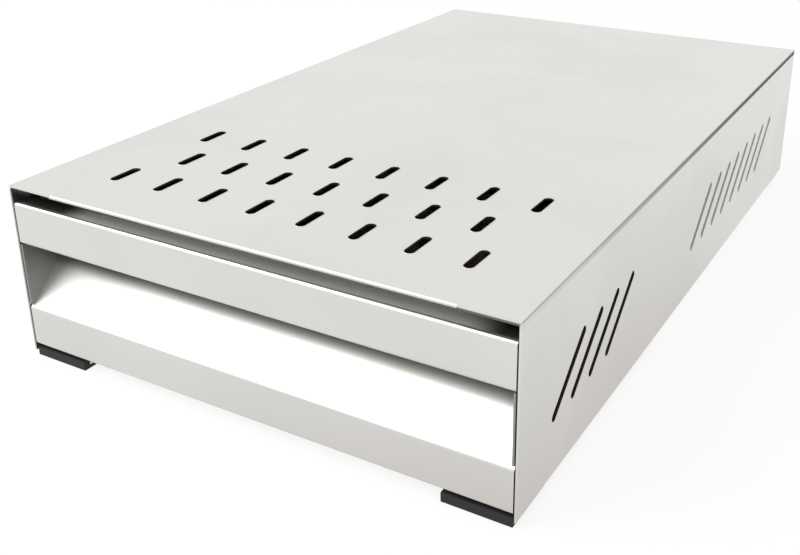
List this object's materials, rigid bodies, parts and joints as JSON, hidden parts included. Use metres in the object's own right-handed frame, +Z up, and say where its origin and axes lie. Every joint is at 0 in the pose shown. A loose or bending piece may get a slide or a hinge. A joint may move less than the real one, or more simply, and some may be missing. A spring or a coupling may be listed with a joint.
{
  "type": "electric smoke box",
  "caption": "Low stainless electric smoke box with a sliding wood chip drawer under a slotted top, a closed rear electrics bay with a power inlet and a rocker switch, on rubber feet.",
  "frame": {"origin": "on the ground under the middle of the case", "axes": "+Z up, drawer opens towards -Y, +X to the right seen from the front"},
  "size_m": [0.325, 0.53, 0.111],
  "materials": {
    "brushed_sheet": "brushed stainless sheet",
    "mill_sheet": "satin mill stainless",
    "pan_steel": "satin stainless, slightly heat tinted",
    "bright_fastener": "bright zinc",
    "ceramic_fibre": "pressed ceramic fibre",
    "heater_sheath": "dull dark alloy sheath",
    "brass": "plain brass",
    "tinned_contact": "tinned contact",
    "cutout_shell": "pressed aluminium shell",
    "steatite": "unglazed steatite",
    "black_moulding": "fine matte moulding",
    "rocker_gloss": "glossy moulding",
    "foot_rubber": "moulded rubber",
    "wire_brown": "silicone sleeve",
    "wire_blue": "silicone sleeve",
    "wire_green": "silicone sleeve"
  },
  "bodies": {
    "case": {"top_plate": "brushed_sheet", "side_wall_right": "brushed_sheet", "side_wall_left": "brushed_sheet", "base_plate": "mill_sheet", "rear_panel": "mill_sheet", "partition": "mill_sheet", "heat_shield": "mill_sheet", "element_bracket_right": "mill_sheet", "element_bracket_left": "mill_sheet", "drawer_runner_right": "mill_sheet", "drawer_runner_left": "mill_sheet", "rear_panel_screws": "bright_fastener", "rear_panel_nuts": "bright_fastener", "foot_rivets": "bright_fastener", "shield_screws": "bright_fastener", "shield_nuts": "bright_fastener", "bracket_screws": "bright_fastener", "cutout_screws": "bright_fastener", "terminal_screws": "bright_fastener", "block_screws": "bright_fastener", "inlet_screws": "bright_fastener", "inlet_nuts": "bright_fastener", "earth_stud": "bright_fastener", "earth_nut": "bright_fastener", "insulation_board": "ceramic_fibre", "heater_element": "heater_sheath", "heater_pins": "bright_fastener", "element_glands": "brass", "gland_nuts": "brass", "terminal_sleeves": "brass", "inlet_blades": "tinned_contact", "cutout_tabs": "tinned_contact", "switch_tabs": "tinned_contact", "earth_lug": "tinned_contact", "thermal_cutout": "cutout_shell", "terminal_block": "steatite", "power_inlet": "black_moulding", "switch_housing": "black_moulding", "foot_left_front": "foot_rubber", "foot_left_rear": "foot_rubber", "foot_right_front": "foot_rubber", "foot_right_rear": "foot_rubber", "heater_lead_left": "wire_brown", "heater_lead_right": "wire_brown", "wire_live_supply": "wire_brown", "wire_live_switched": "wire_brown", "wire_cutout_return": "wire_brown", "wire_neutral_supply": "wire_blue", "wire_earth": "wire_green"},
    "drawer": {"drawer_front": "brushed_sheet", "pull_bar": "brushed_sheet", "drawer_cheek_right": "brushed_sheet", "drawer_cheek_left": "brushed_sheet", "drawer_tray": "mill_sheet", "chip_pan": "pan_steel", "pan_grips": "pan_steel"},
    "rocker": {"switch_rocker": "rocker_gloss"}
  },
  "joints": [
    {"name": "drawer_slide", "type": "slide", "parent": "case", "child": "drawer", "axis": [0, -1, 0], "range_m": [0, 0.13]},
    {"name": "switch_rock", "type": "hinge", "parent": "case", "child": "rocker", "pos_m": [0.06, 0.255, 0.055], "axis": [1, 0, 0], "range_deg": [0, 18]}
  ]
}
